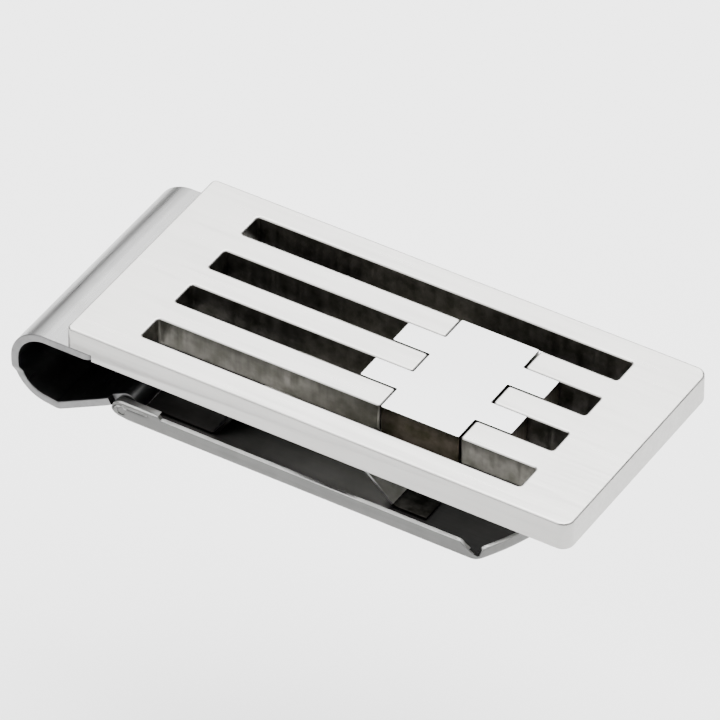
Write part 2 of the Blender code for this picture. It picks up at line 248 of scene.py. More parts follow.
def inset(outline, distance):
    """Every point of a closed outline moved to its left by a distance, measured square to the sides."""
    moved = []
    for i, point in enumerate(outline):
        here = Vector(point)
        along_in = (here - Vector(outline[i - 1])).normalized()
        along_out = (Vector(outline[(i + 1) % len(outline)]) - here).normalized()
        left = Vector((-along_in.y, along_in.x)) + Vector((-along_out.y, along_out.x))
        moved.append(here + left * distance / max(MITRE_LIMIT, left.length_squared / 2))
    return moved


class SheetPath:
    """The middle line of a bent strip, drawn as straight runs and bends."""

    def __init__(self, x, z, heading, thickness):
        self.at = Vector((x, z))
        self.heading = heading
        self.thickness = thickness
        self.points = []
        self.mark()

    def ahead(self):
        return Vector((math.cos(self.heading), math.sin(self.heading)))

    def left(self):
        return Vector((-math.sin(self.heading), math.cos(self.heading)))

    def mark(self):
        self.points.append((self.at.copy(), self.left()))

    def run(self, length, pieces=1):
        """Goes straight on."""
        for _ in range(pieces):
            self.at += self.ahead() * length / pieces
            self.mark()

    def bend(self, inner_radius, turn):
        """Turns by an angle, to the left if it is above zero, round a former of the inner radius."""
        side = math.copysign(1.0, turn)
        radius = inner_radius + self.thickness / 2
        centre = self.at + self.left() * radius * side
        steps = max(3, math.ceil(abs(turn) / FINE))
        for _ in range(steps):
            self.heading += turn / steps
            self.at = centre - self.left() * radius * side
            self.mark()


def path_through(corners, bend_radius, thickness):
    """A strip's middle line through corner points, each turned into a bend."""
    runs = [Vector(b) - Vector(a) for a, b in zip(corners, corners[1:])]
    path = SheetPath(*corners[0], math.atan2(runs[0].y, runs[0].x), thickness)
    used = 0.0
    for before, after in zip(runs, runs[1:]):
        turn = math.atan2(before.x * after.y - before.y * after.x, before.dot(after))
        set_back = (bend_radius + thickness / 2) * math.tan(abs(turn) / 2)
        path.run(before.length - used - set_back, pieces=4)
        path.bend(bend_radius, turn)
        used = set_back
    path.run(runs[-1].length - used)
    return path


# ---------------------------------------------------------------- meshes

def finish_mesh(name, bm, smooth_angle=40.0):
    """Closes the drawing of a piece: millimetres to row frame, shaded smooth except at real edges."""
    bmesh.ops.remove_doubles(bm, verts=bm.verts, dist=MERGE_DISTANCE)
    bmesh.ops.recalc_face_normals(bm, faces=bm.faces)
    mesh = bpy.data.meshes.new(name)
    bm.to_mesh(mesh)
    bm.free()
    mesh.transform(TO_ROW)
    mesh.shade_smooth()
    mesh.set_sharp_from_angle(angle=math.radians(smooth_angle))
    piece = bpy.data.objects.new(name, mesh)
    bpy.context.scene.collection.objects.link(piece)
    return piece


def join_rings(bm, first, second):
    """A band of faces between two closed rings of points."""
    count = len(first)
    for i in range(count):
        j = (i + 1) % count
        bm.faces.new((first[i], first[j], second[j], second[i]))


def join_all(bm, rings):
    for first, second in zip(rings, rings[1:]):
        join_rings(bm, first, second)


def round_slab(bm, outlines, low, high, edge):
    """A plate with holes whose top and bottom edges are rounded. The first outline is the outer one."""
    turned = []
    for i, outline in enumerate(outlines):
        outward = signed_area(outline) > 0
        turned.append(outline if outward == (i == 0) else outline[::-1])
    quarter = quarter_turn(EDGE_STEPS)
    levels = [(edge + FLAT_BORDER, low)]
    levels += [(edge * (1 - math.sin(a)), low + edge * (1 - math.cos(a))) for a in quarter]
    levels += [(edge * (1 - math.cos(a)), high - edge * (1 - math.sin(a))) for a in quarter]
    levels.append((edge + FLAT_BORDER, high))
    rings = []
    for shrink, z in levels:
        rings.append([[bm.verts.new((*p, z)) for p in inset(o, shrink)] for o in turned])
    for below, above in zip(rings, rings[1:]):
        for a, b in zip(below, above):
            join_rings(bm, a, b)
    for ring in (rings[0], rings[-1]):
        verts = [v for outline in ring for v in outline]
        loops, start = [], 0
        for outline in ring:
            loops.append(list(range(start, start + len(outline))))
            start += len(outline)
        flat = delaunay_2d_cdt([v.co.xy for v in verts], [], loops, 2, 1e-6)
        sources = flat[3]
        for face in flat[2]:
            bm.faces.new([verts[sources[i][0]] for i in face])


def ribbon(name, path, half_width_at, thickness, edge):
    """A bent strip with rounded long edges; its half width may change along its length."""
    bm = bmesh.new()
    half = thickness / 2
    quarter = quarter_turn(EDGE_STEPS)
    travelled = 0.0
    before = path.points[0][0]
    rings = []
    for at, normal in path.points:
        travelled += (at - before).length
        before = at
        width = half_width_at(travelled, at)
        ring = []
        for side_y, side_n, order in ((1, 1, 1), (1, -1, -1), (-1, -1, 1), (-1, 1, -1)):
            for a in quarter[::order]:
                across = side_y * (width - edge + edge * math.sin(a))
                point = at + normal * (side_n * (half - edge + edge * math.cos(a)))
                ring.append(bm.verts.new((point.x, across, point.y)))
        rings.append(ring)
    join_all(bm, rings)
    bm.faces.new(rings[0])
    bm.faces.new(rings[-1][::-1])
    return finish_mesh(name, bm)


def make_rod(name, radius, half_length, edge):
    """A round rod along y on the hinge axis, with rounded ends."""
    bm = bmesh.new()
    levels = [(radius - edge, -half_length), (radius, -half_length + edge),
              (radius, half_length - edge), (radius - edge, half_length)]
    turns = [math.tau * i / ROD_SIDES for i in range(ROD_SIDES)]
    rings = []
    for r, y in levels:
        rings.append([bm.verts.new((PIN_X + r * math.cos(a), y, PIN_Z + r * math.sin(a))) for a in turns])
    join_all(bm, rings)
    bm.faces.new(rings[0])
    bm.faces.new(rings[-1][::-1])
    return finish_mesh(name, bm, smooth_angle=30.0)


def cut_with(piece, cutter):
    """Takes the cutter out of the piece for good, and removes the cutter."""
    modifier = piece.modifiers.new("cut", "BOOLEAN")
    modifier.operation = "DIFFERENCE"
    modifier.solver = "EXACT"
    modifier.object = cutter
    bpy.context.view_layer.update()
    cut = bpy.data.meshes.new_from_object(piece.evaluated_get(bpy.context.evaluated_depsgraph_get()))
    piece.modifiers.clear()
    piece.data = cut
    bpy.data.objects.remove(cutter)


def cut_box(piece, low, high):
    """Takes a box, given in drawing millimetres, out of a piece."""
    bm = bmesh.new()
    size = Vector(high) - Vector(low)
    centre = (Vector(high) + Vector(low)) / 2
    bmesh.ops.create_cube(bm, size=1.0, matrix=Matrix.Translation(centre) @ Matrix.Diagonal((*size, 1.0)))
    cut_with(piece, finish_mesh("cutter", bm))


# ---------------------------------------------------------------- plate and block

def slot_comb():
    """The single opening formed by the slots and the pocket that cuts through their bars."""
    end = SLOT_START + SLOT_LENGTH
    half = SLOT_WIDTH / 2
    first, last = SLOT_CENTRES[0], SLOT_CENTRES[-1]
    corners = []
    for centre in SLOT_CENTRES:
        if centre != first:
            corners.append((POCKET_END, centre - half))
        corners += [(end, centre - half), (end, centre + half)]
        if centre != last:
            corners.append((POCKET_END, centre + half))
    for centre in reversed(SLOT_CENTRES):
        if centre != last:
            corners.append((POCKET_START, centre + half))
        corners += [(SLOT_START, centre + half), (SLOT_START, centre - half)]
        if centre != first:
            corners.append((POCKET_START, centre - half))
    return rounded(corners, [SLOT_CORNER] * len(corners))


def make_face_plate():
    """The slotted plate, thinned under its loop end where the band is lapped."""
    bm = bmesh.new()
    edges = [(0.0, -HALF_WIDTH), (PLATE_LENGTH, -HALF_WIDTH), (PLATE_LENGTH, HALF_WIDTH), (0.0, HALF_WIDTH)]
    radii = [PLATE_LOOP_CORNER, PLATE_FREE_CORNER, PLATE_FREE_CORNER, PLATE_LOOP_CORNER]
    round_slab(bm, [rounded(edges, radii, FINE), slot_comb()], -PLATE_THICK, 0.0, PLATE_EDGE)
    plate = finish_mesh("face_plate_fine", bm, smooth_angle=50.0)
    cut_box(plate, (-CUT_MARGIN, -HALF_WIDTH - CUT_MARGIN, -PLATE_THICK - CUT_MARGIN),
            (REBATE_LENGTH, HALF_WIDTH + CUT_MARGIN, -PLATE_THICK + BAND_THICK + LEAF_GAP))
    return plate


def make_inlay_block():
    """The block that fills the pocket, with fingers in the two inner slots."""
    left = POCKET_START + BLOCK_GAP_LEFT
    right = POCKET_END - BLOCK_GAP_RIGHT
    reach = SLOT_CENTRES[-1] - SLOT_WIDTH / 2
    half = SLOT_WIDTH / 2 - BLOCK_SIDE_GAP
    inner = SLOT_CENTRES[1:-1]
    corners = [(left, -reach), (right, -reach)]
    for centre in inner:
        corners += [(right, centre - half), (right + BLOCK_FINGER_RIGHT, centre - half),
                    (right + BLOCK_FINGER_RIGHT, centre + half), (right, centre + half)]
    corners += [(right, reach), (left, reach)]
    for centre in reversed(inner):
        corners += [(left, centre + half), (left - BLOCK_FINGER_LEFT, centre + half),
                    (left - BLOCK_FINGER_LEFT, centre - half), (left, centre - half)]
    bm = bmesh.new()
    outline = rounded(corners, [BLOCK_CORNER] * len(corners))
    round_slab(bm, [outline], -PLATE_THICK, 0.0, BLOCK_EDGE)
    return finish_mesh("inlay_block_fine", bm, smooth_angle=50.0)


# ---------------------------------------------------------------- band and leaf

def band_half_width(travelled, at):
    """The band narrows at the rounded corners of its lap, below its shoulders, and again at its tongue."""
    if travelled < BAND_LAP_CORNER:
        back = BAND_LAP_CORNER - travelled
        return HALF_WIDTH - BAND_LAP_CORNER + math.sqrt(BAND_LAP_CORNER**2 - back**2)
    if at.x > TONGUE_START - TONGUE_SHOULDER:
        share = clamp((at.x - TONGUE_START + TONGUE_SHOULDER / 2) / TONGUE_SHOULDER)
        return HALF_WIDTH - BAND_STEP - (TONGUE_STEP - BAND_STEP) * share
    if at.x > UPPER_BEND_X:
        is_leg = at.y < -PLATE_THICK - UPPER_RADIUS - SIDE_DROP
        return HALF_WIDTH - BAND_STEP if is_leg else HALF_WIDTH
    return HALF_WIDTH - BAND_STEP * clamp((BAND_SHOULDER_Z - at.y) / BAND_SHOULDER_DROP)


def make_spring_loop():
    """Lap under the plate, round bend, kink, rising leg, tongue, and an end rolled round the pin."""
    path = SheetPath(BAND_LAP, -PLATE_THICK + BAND_THICK / 2, math.pi, BAND_THICK)
    for share in LAP_CORNER_SHARES:
        done = BAND_LAP - path.at.x
        path.run(BAND_LAP_CORNER * share - done)
    path.run(path.at.x - UPPER_BEND_X, pieces=3)
    path.bend(UPPER_RADIUS, math.radians(90.0))
    path.run(SIDE_DROP)
    path.bend(LOWER_RADIUS, LOWER_TURN)
    path.run(KINK_RUN)
    path.bend(KINK_RADIUS, LEG_RISE - (path.heading - math.tau))
    to_pin = (Vector((PIN_X, PIN_Z)) - path.at).dot(path.ahead())
    to_tongue = (TONGUE_START - path.at.x) / path.ahead().x
    path.run(to_tongue - TONGUE_SHOULDER / 2, pieces=6)
    path.run(TONGUE_SHOULDER, pieces=4)
    path.run(to_pin - to_tongue - TONGUE_SHOULDER / 2, pieces=3)
    path.bend(PIN_RADIUS + ROLL_CLEARANCE, -ROLL_TURN)
    return ribbon("spring_loop_fine", path, band_half_width, BAND_THICK, BAND_EDGE)


def leaf_path():
    """Flat base, short steep ramp, long gentle rise to the pressing line, fall and foot."""
    base = ARM_BOTTOM + ARM_SHEET + LEAF_GAP + LEAF_THICK / 2
    crest = -PLATE_THICK - LEAF_PLATE_GAP - LEAF_THICK / 2
    shoulder_x = LEAF_RISE_X + (LEAF_SHOULDER_Z - base) / math.tan(LEAF_RISE_ANGLE)
    foot_x = LEAF_FALL_X + (crest - base) / math.tan(LEAF_FALL_ANGLE)
    corners = [(LEAF_START, base), (LEAF_RISE_X, base), (shoulder_x, LEAF_SHOULDER_Z),
               (LEAF_FALL_X, crest), (foot_x, base), (foot_x + LEAF_FOOT, base)]
    return path_through(corners, LEAF_BEND, LEAF_THICK)


def leaf_half_width(travelled, at):
    return LEAF_HALF_WIDTH


def make_leaf_spring():
    return ribbon("leaf_spring_fine", leaf_path(), leaf_half_width, LEAF_THICK, LEAF_EDGE)


# ---------------------------------------------------------------- arm

def from_nose(x):
    """Distance along the arm's side from the front of its ears."""
    return x - PIN_X + EAR_NOSE


def on_circle(centre, radius, angle):
    """A station on a circle: the point and its outward direction."""
    normal = Vector((math.cos(angle), math.sin(angle)))
    return centre + normal * radius, normal


def arm_perimeter():
    """Stations round the arm's plan, each with its outward normal: side, corner, rounded end and back."""
    tip_x = ARM_TIP - TIP_RADIUS
    inner_y = HALF_WIDTH - TIP_FILLET
    fillet_x = tip_x + math.sqrt((TIP_RADIUS - TIP_FILLET) ** 2 - inner_y**2)
    tip_angle = math.asin(inner_y / (TIP_RADIUS - TIP_FILLET))
    nose_x = PIN_X - EAR_NOSE
    side = [nose_x + EAR_NOSE * (1 - math.cos(math.radians(a))) for a in NOSE_DEGREES]
    side += ARM_SIDE_STATIONS
    side += [FLOOR_START - STATION_STEP, FLOOR_START]
    side += [BEAD_END - BEAD_FADE_BEFORE, BEAD_END - BEAD_FADE_AFTER, BEAD_END, BEAD_END + BEAD_FADE_AFTER]
    side += [EAR_END - STATION_STEP, EAR_END, EAR_END + EAR_STEP / 2, EAR_END + EAR_STEP]
    side += [FLANGE_LEVEL_END + along for along in FLANGE_END_STATIONS]
    last = FLANGE_END_STATIONS[-1]
    side += [FLANGE_LEVEL_END + last + (fillet_x - FLANGE_LEVEL_END - last) * i / 3 for i in (1, 2)]
    stations = [(Vector((x, -HALF_WIDTH)), Vector((0.0, -1.0))) for x in sorted(side)]
    down = math.radians(-90.0)
    centre = Vector((fillet_x, -inner_y))
    for i in range(CORNER_STATIONS + 1):
        angle = down + (math.radians(90.0) - tip_angle) * i / CORNER_STATIONS
        stations.append(on_circle(centre, TIP_FILLET, angle))
    for i in range(1, TIP_STATIONS // 2 + 1):
        angle = -tip_angle + 2 * tip_angle * i / TIP_STATIONS
        stations.append(on_circle(Vector((tip_x, 0.0)), TIP_RADIUS, angle))
    mirrored = [(Vector((p.x, -p.y)), Vector((n.x, -n.y))) for p, n in reversed(stations[:-1])]
    return stations + mirrored, fillet_x


def has_floor(travelled, at, fillet_start):
    """The arm has a floor round its rounded end and along its sides, up to a line near the hinge."""
    return travelled >= fillet_start or at.x > FLOOR_START - STATION_TOLERANCE


def arm_section(travelled, at, fillet_start):
    """The ring of (inset, height) points at one station of the arm's edge."""
    on_side = travelled < fillet_start
    ear_top = PIN_Z + EAR_NOSE
    notch = fillet_start + NOTCH_OFFSET
    top = blend_value(travelled, [
        (0.0, ear_top), (from_nose(EAR_END), ear_top), (from_nose(EAR_END + EAR_STEP), FLANGE_TOP),
        (from_nose(FLANGE_LEVEL_END), FLANGE_TOP), (notch, NOTCH_TOP), (notch + NOTCH_FLAT, NOTCH_TOP),
        (notch + RIM_SHOULDER, RIM_TOP - RIM_SHOULDER_DROP), (notch + RIM_START, RIM_TOP)])
    bottom = ARM_BOTTOM
    bend = ARM_BEND
    if on_side and at.x < PIN_X:
        reach = math.sqrt(max(1e-4, EAR_NOSE**2 - (PIN_X - at.x) ** 2))
        top = PIN_Z + reach
        bottom = PIN_Z - reach
        bend = min(bend, reach * NOSE_BEND_SHARE)
    elif on_side:
        bottom = blend_value(at.x, [(PIN_X, PIN_Z - EAR_NOSE), (PIN_X + EAR_BASE_RUN, ARM_BOTTOM)])
    sheet = EAR_THICK if on_side and at.x < EAR_END else ARM_SHEET
    floor = bottom + ARM_SHEET
    bead = 0.0
    if on_side:
        bead = blend_value(at.x, [(BEAD_END - BEAD_FADE_BEFORE, 1.0), (BEAD_END + BEAD_FADE_AFTER, 0.0)])
    edge = min(BEAD_EDGE if bead > 0.0 else ARM_EDGE, (top - bottom) * EDGE_SHARE)
    quarter = quarter_turn(ARM_BEND_STEPS)

    points = [(edge - edge * math.sin(a), top - edge + edge * math.cos(a)) for a in quarter]
    wall_top, wall_low = top - edge, bottom + bend
    is_grooved = wall_top - wall_low > GROOVE_MIN_WALL
    for i in range(1, WALL_STEPS):
        z = wall_top + (wall_low - wall_top) * i / WALL_STEPS
        below = (top - z) / BEAD_WIDTH
        groove = math.exp(-(((below - 1.0) / GROOVE_SPREAD) ** 2)) * GROOVE_DEPTH * bead
        points.append((groove if is_grooved else 0.0, z))
    points += [(bend - bend * math.cos(a), bottom + bend - bend * math.sin(a)) for a in quarter]
    if has_floor(travelled, at, fillet_start):
        inner_bend = min(ARM_BEND - ARM_SHEET, max(INNER_BEND_MIN, top - floor - FILL_START))
        points += [(FLOOR_INSET, bottom), (FLOOR_INSET, floor)]
        points += [(sheet + inner_bend * (1 - math.sin(a)), floor + inner_bend * (1 - math.cos(a)))
                   for a in quarter]
    else:
        # The same number of points as a section with a floor, so that the rings can be joined
        points += [(sheet - EAR_CHAMFER, bottom), (sheet, bottom + EAR_CHAMFER)]
        points += [(sheet, bottom + FILL_START + STATION_STEP * i) for i in range(len(quarter))]
    points.append((sheet, wall_top))
    inner_edge = min(edge, ARM_EDGE)
    points += [(sheet - inner_edge + inner_edge * math.cos(a), top - inner_edge + inner_edge * math.sin(a))
               for a in quarter[1:]]
    return points


def make_clamp_arm():
    """Ears, side flanges and turned-up rim as one swept edge, closed by a floor and bored for the pin."""
    stations, fillet_x = arm_perimeter()
    start_x = PIN_X - EAR_NOSE
    fillet_start = fillet_x - start_x
    lengths = [stations[0][0].x - start_x]
    for (a, _), (b, _) in zip(stations, stations[1:]):
        lengths.append(lengths[-1] + (b - a).length)
    total = lengths[-1] + lengths[0]
    bm = bmesh.new()
    rings = []
    floor_edge = []
    for (at, normal), travelled in zip(stations, lengths):
        nearest = min(travelled, total - travelled)
        section = arm_section(nearest, at, fillet_start)
        ring = [bm.verts.new((at.x - normal.x * d, at.y - normal.y * d, z)) for d, z in section]
        rings.append(ring)
        if has_floor(nearest, at, fillet_start):
            low = section.index((FLOOR_INSET, ARM_BOTTOM))
            floor_edge.append((ring[low], ring[low + 1]))
    first, last = floor_edge[0], floor_edge[-1]
    for low, _ in (first, last):
        low.co.x -= FLOOR_LIP
    join_all(bm, rings)
    bm.faces.new(rings[0])
    bm.faces.new(rings[-1][::-1])
    inner_faces = [f for f in bm.faces if all(any(v in pair for pair in floor_edge) for v in f.verts)]
    bmesh.ops.delete(bm, geom=inner_faces, context="FACES_ONLY")
    bm.faces.new([low for low, _ in floor_edge])
    bm.faces.new([high for _, high in floor_edge][::-1])
    bm.faces.new((first[0], first[1], last[1], last[0]))
    arm = finish_mesh("clamp_arm_fine", bm, smooth_angle=35.0)
    cut_with(arm, make_rod("pin_hole", PIN_RADIUS + PIN_CLEARANCE, HALF_WIDTH + CUT_MARGIN, 0.0))
    return arm


# ---------------------------------------------------------------- materials

ALONG, ACROSS, UPRIGHT = 0, 1, 2
BRUSH_FINE = 2600.0
BRUSH_LONG = 90.0
BRUSH_DETAIL = 4.0
BRUSH_RANGE = (0.3, 0.7)
CLOUD_DETAIL = 3.0
CLOUD_RANGE = (0.35, 0.65)
RELIEF_DEPTH = 0.00002


def noise(material, vector, scale, detail):
    """A noise texture's value over a coordinate."""
    texture = material.node_tree.nodes.new("ShaderNodeTexNoise")
    texture.inputs["Scale"].default_value = scale
    texture.inputs["Detail"].default_value = detail
    material.node_tree.links.new(vector, texture.inputs["Vector"])
    return texture.outputs["Fac"]


def map_range(material, value, source, target=(0.0, 1.0)):
    """A value carried from one range to another, and held at its ends."""
    node = material.node_tree.nodes.new("ShaderNodeMapRange")
    node.inputs["From Min"].default_value, node.inputs["From Max"].default_value = source
    node.inputs["To Min"].default_value, node.inputs["To Max"].default_value = target
    material.node_tree.links.new(value, node.inputs["Value"])
    return node.outputs["Result"]


def steel(name, colour, roughness, brush, axis, mottle, bump, metallic=1.0, cloud_scale=160.0, warm=0.0):
    """Metal with fine brush lines along one axis, mottling and small changes of gloss."""
    material = bpy.data.materials.new(name)
    material.use_nodes = True
    nodes = material.node_tree.nodes
    links = material.node_tree.links
    shader = nodes["Principled BSDF"]
    shader.inputs["Metallic"].default_value = metallic
    place = nodes.new("ShaderNodeTexCoord").outputs["Object"]
    stretch = nodes.new("ShaderNodeMapping")
    scale = [BRUSH_FINE] * 3
    scale[axis] = BRUSH_LONG
    stretch.inputs["Scale"].default_value = scale
    links.new(place, stretch.inputs["Vector"])
    lines = noise(material, stretch.outputs["Vector"], 1.0, BRUSH_DETAIL)
    cloud = noise(material, place, cloud_scale, CLOUD_DETAIL)

    tint = nodes.new("ShaderNodeMix")
    tint.data_type = "RGBA"
    red, green, blue = colour
    dark = (red * (1 - mottle), green * (1 - mottle), blue * (1 - mottle - warm))
    light = (red * (1 + mottle + warm), green * (1 + mottle + warm / 2), blue * (1 + mottle))
    tint.inputs["A"].default_value = (*dark, 1.0)
    tint.inputs["B"].default_value = (*light, 1.0)
    links.new(map_range(material, cloud, CLOUD_RANGE), tint.inputs["Factor"])
    links.new(tint.outputs["Result"], shader.inputs["Base Color"])

    gloss = map_range(material, lines, BRUSH_RANGE, (roughness * (1 - brush), roughness * (1 + brush)))
    links.new(gloss, shader.inputs["Roughness"])

    relief = nodes.new("ShaderNodeBump")
    relief.inputs["Strength"].default_value = bump
    relief.inputs["Distance"].default_value = RELIEF_DEPTH
    links.new(lines, relief.inputs["Height"])
    links.new(relief.outputs["Normal"], shader.inputs["Normal"])
    return material


def shade_along_x(material, stops):
    """Multiplies a material's colour by a grey that changes along the clip, at drawing millimetres: painted
    shade.
    """
    nodes = material.node_tree.nodes
    links = material.node_tree.links
    shader = nodes["Principled BSDF"]
    first, last = stops[0][0], stops[-1][0]
    split = nodes.new("ShaderNodeSeparateXYZ")
    links.new(nodes.new("ShaderNodeTexCoord").outputs["Object"], split.inputs["Vector"])
    ends = [(TO_ROW @ Vector((x, 0.0, 0.0))).x for x in (first, last)]
    ramp = nodes.new("ShaderNodeValToRGB")
    while len(ramp.color_ramp.elements) < len(stops):
        ramp.color_ramp.elements.new(0.5)
    for element, (x, grey) in zip(ramp.color_ramp.elements, stops):
        element.position = (x - first) / (last - first)
        element.color = (grey, grey, grey, 1.0)
    links.new(map_range(material, split.outputs["X"], ends), ramp.inputs["Fac"])
    darker = nodes.new("ShaderNodeMix")
    darker.data_type = "RGBA"
    darker.blend_type = "MULTIPLY"
    darker.inputs["Factor"].default_value = 1.0
    links.new(shader.inputs["Base Color"].links[0].from_socket, darker.inputs["A"])
    links.new(ramp.outputs["Color"], darker.inputs["B"])
    links.new(darker.outputs["Result"], shader.inputs["Base Color"])


satin = steel("satin_plate", (0.385, 0.38, 0.367), roughness=0.36, brush=0.25, axis=ALONG,
              mottle=0.02, bump=0.10)
# Slot walls are a darker copy of one steel, with a lighter copy for the front slot: painted shade and painted
# light
slot_wall_shaded = steel("slot_wall_painted_shade", (0.10, 0.096, 0.09), roughness=0.45, brush=0.3, axis=UPRIGHT,
                 mottle=0.35, bump=0.2, cloud_scale=700.0, warm=0.08)
lit_wall = steel("lit_slot_wall", (0.15, 0.147, 0.138), roughness=0.45, brush=0.3, axis=UPRIGHT,
                 mottle=0.2, bump=0.2, cloud_scale=700.0, warm=0.08)
# Faces turned down, under the plate and the block, are a darker copy of the plate's steel: painted shade
shaded_underside = steel("plate_underside", (0.14, 0.14, 0.135), roughness=0.45, brush=0.3, axis=ALONG,
                  mottle=0.15, bump=0.15)
polished = steel("polished_block", (0.42, 0.422, 0.424), roughness=0.24, brush=0.05, axis=ALONG,
                 mottle=0.008, bump=0.004)
# The block's sides, standing in the narrow gaps round it, are near black: painted shade
shaded_block_wall = steel("block_side_painted_shade", (0.034, 0.030, 0.025), roughness=0.4, brush=0.3, axis=UPRIGHT,
                   mottle=0.35, bump=0.15, cloud_scale=700.0, warm=0.2)
spring = steel("spring_steel", (0.19, 0.19, 0.188), roughness=0.30, brush=0.3, axis=ACROSS,
               mottle=0.14, bump=0.14, cloud_scale=90.0)
spring_edge = steel("spring_cut_edge", (0.15, 0.15, 0.15), roughness=0.40, brush=0.3, axis=ACROSS,
                    mottle=0.10, bump=0.1, cloud_scale=500.0)
# The inside of the loop and the leg from the kink to the rolled end are a darker copy of the band's steel:
# painted shade
spring_shaded = steel("spring_steel_painted_shade", (0.06, 0.06, 0.06), roughness=0.35, brush=0.25, axis=ACROSS,
                      mottle=0.1, bump=0.10)
# The arm's dark grey is partly its own steel and partly painted shade, for the shaded floor under the arm
# that its sides would reflect
arm_steel_shaded = steel("arm_steel_with_painted_shade", (0.11, 0.11, 0.107), roughness=0.42, brush=0.2, axis=ALONG,
                mottle=0.05, bump=0.12, cloud_scale=500.0)
# Upward-facing arm edges get a lighter copy of the arm's steel: a painted highlight
arm_top_highlight = steel("arm_top_painted_highlight", (0.37, 0.37, 0.36), roughness=0.35, brush=0.2, axis=ALONG,
               mottle=0.15, bump=0.12, cloud_scale=500.0)
# The arm's floor and inner sides: a grey ramp along the clip darkens them near the hinge and past the leaf's
# foot, as painted shade
arm_inside_shaded = steel("arm_inside_shaded", (0.19, 0.188, 0.18), roughness=0.55, brush=0.2, axis=ALONG,
                   mottle=0.10, bump=0.12, metallic=0.2, cloud_scale=300.0, warm=0.02)
arm_inside_shaded.node_tree.nodes["Principled BSDF"].inputs["Specular IOR Level"].default_value = 0.12
shade_along_x(arm_inside_shaded, [(14.0, 0.15), (18.0, 0.45), (29.0, 1.0), (32.5, 1.0), (33.5, 0.05), (48.0, 0.10)])
rolled = steel("rolled_leaf", (0.30, 0.30, 0.285), roughness=0.34, brush=0.2, axis=ALONG,
               mottle=0.13, bump=0.03, cloud_scale=600.0, warm=0.05)
# The leaf's cut edges are a lighter copy of its steel: a painted highlight
leaf_edge_highlight = steel("leaf_edge_painted_highlight", (0.45, 0.45, 0.44), roughness=0.35, brush=0.2, axis=ALONG,
                  mottle=0.1, bump=0.05)
# The leaf near the hinge, in the plate's shadow, is near black: painted shade
leaf_shaded = steel("leaf_painted_shade", (0.012, 0.0115, 0.011), roughness=0.5, brush=0.25, axis=ALONG,
              mottle=0.3, bump=0.08, cloud_scale=300.0)
# The leaf's foot is very dark with blotches: partly weld marks, partly painted shade of the dark floor
# towards the arm's free end
welded_shaded_foot = steel("welded_foot_painted_shade", (0.020, 0.0195, 0.018), roughness=0.45, brush=0.3, axis=ALONG,
               mottle=0.6, bump=0.3, cloud_scale=900.0, warm=0.06)
drawn = steel("drawn_pin", (0.11, 0.11, 0.107), roughness=0.40, brush=0.2, axis=ACROSS,
              mottle=0.02, bump=0.05)


# ---------------------------------------------------------------- where each material goes
# Every test takes the middle of a face in drawing millimetres and its normal.

FACING = 0.5
LOOP_FACING = 0.3
HIGHLIGHT_FACING = 0.45
WALL_SLACK = 0.1
RAIL_MIN = 1.5
LEG_TOP_Z = -PLATE_THICK - 2.0
LEG_START_X = UPPER_BEND_X + 0.5
ARM_FLOOR_MAX_Z = FLANGE_TOP - 1.0
ARM_INNER_Y = HALF_WIDTH - 0.2
LEAF_SHADE_END_X = LEAF_RISE_X + 2.5
WELD_RUN = 1.0


def in_slots(centre, normal):
    start = SLOT_START - WALL_SLACK
    inside = start < centre.x < PLATE_LENGTH - start and abs(centre.y) < HALF_WIDTH - RAIL_MIN
    return inside and is_upright(centre, normal)


def in_front_slot(centre, normal):
    return in_slots(centre, normal) and centre.y < SLOT_CENTRES[0] + SLOT_PITCH / 2


def faces_down(centre, normal):
    return normal.z < -FACING


def is_upright(centre, normal):
    return abs(normal.z) < FACING


def on_strip_edge(centre, normal):
    return abs(normal.y) > FACING


def inside_loop(centre, normal):
    to_middle = Vector((UPPER_BEND_X - centre.x, -PLATE_THICK - UPPER_RADIUS - centre.z))
    return abs(normal.y) < FACING and to_middle.dot(Vector((normal.x, normal.z))) > LOOP_FACING


def on_arm_leg(centre, normal):
    """The band from its kink to its rolled end."""
    return centre.z < LEG_TOP_Z and centre.x > LEG_START_X


def inside_arm(centre, normal):
    """The arm's floor and the inner sides of its ears, flanges and rim."""
    is_floor = normal.z > FACING and centre.z < ARM_FLOOR_MAX_Z
    faces_middle = abs(centre.y) < ARM_INNER_Y and normal.y * centre.y < 0.0
    return is_floor or (faces_middle and centre.z < FLANGE_TOP - WALL_SLACK)


def faces_up_highlight(centre, normal):
    """The upward edges of the ears, flanges and turned-up end, painted lighter as a highlight of the light
    from above.
    """
    return normal.z > HIGHLIGHT_FACING


def leaf_near_hinge(centre, normal):
    return centre.x < LEAF_SHADE_END_X


def leaf_foot(centre, normal):
    crest = -PLATE_THICK - LEAF_PLATE_GAP
    fall = (crest - ARM_BOTTOM - ARM_SHEET) / math.tan(LEAF_FALL_ANGLE)
    return centre.x > LEAF_FALL_X + fall - WELD_RUN


# ---------------------------------------------------------------- the pieces on their bodies

def even_normals(piece):
    """Shades large flat faces flat, so that only the narrow edge roundings curve the light."""
    modifier = piece.modifiers.new("even_normals", "WEIGHTED_NORMAL")
    modifier.weight = 100
    modifier.keep_sharp = True


def wear(piece, material, node, body, areas=()):
    """A piece takes its materials, stands for its CAD node and rides its body.

    Each area is a material and a test.  A face takes the material of the first test that picks it,
    and the piece's own material where none does.
    """
    piece.data.materials.clear()
    piece.data.materials.append(material)
    for area_material, _ in areas:
        piece.data.materials.append(area_material)
    to_drawing = TO_ROW.inverted()
    for face in piece.data.polygons:
        centre = to_drawing @ face.center
        picked = [i for i, (_, test) in enumerate(areas, 1) if test(centre, face.normal)]
        face.material_index = picked[0] if picked else 0
    even_normals(piece)
    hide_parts(node)
    if body:
        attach(piece, body)
    return piece


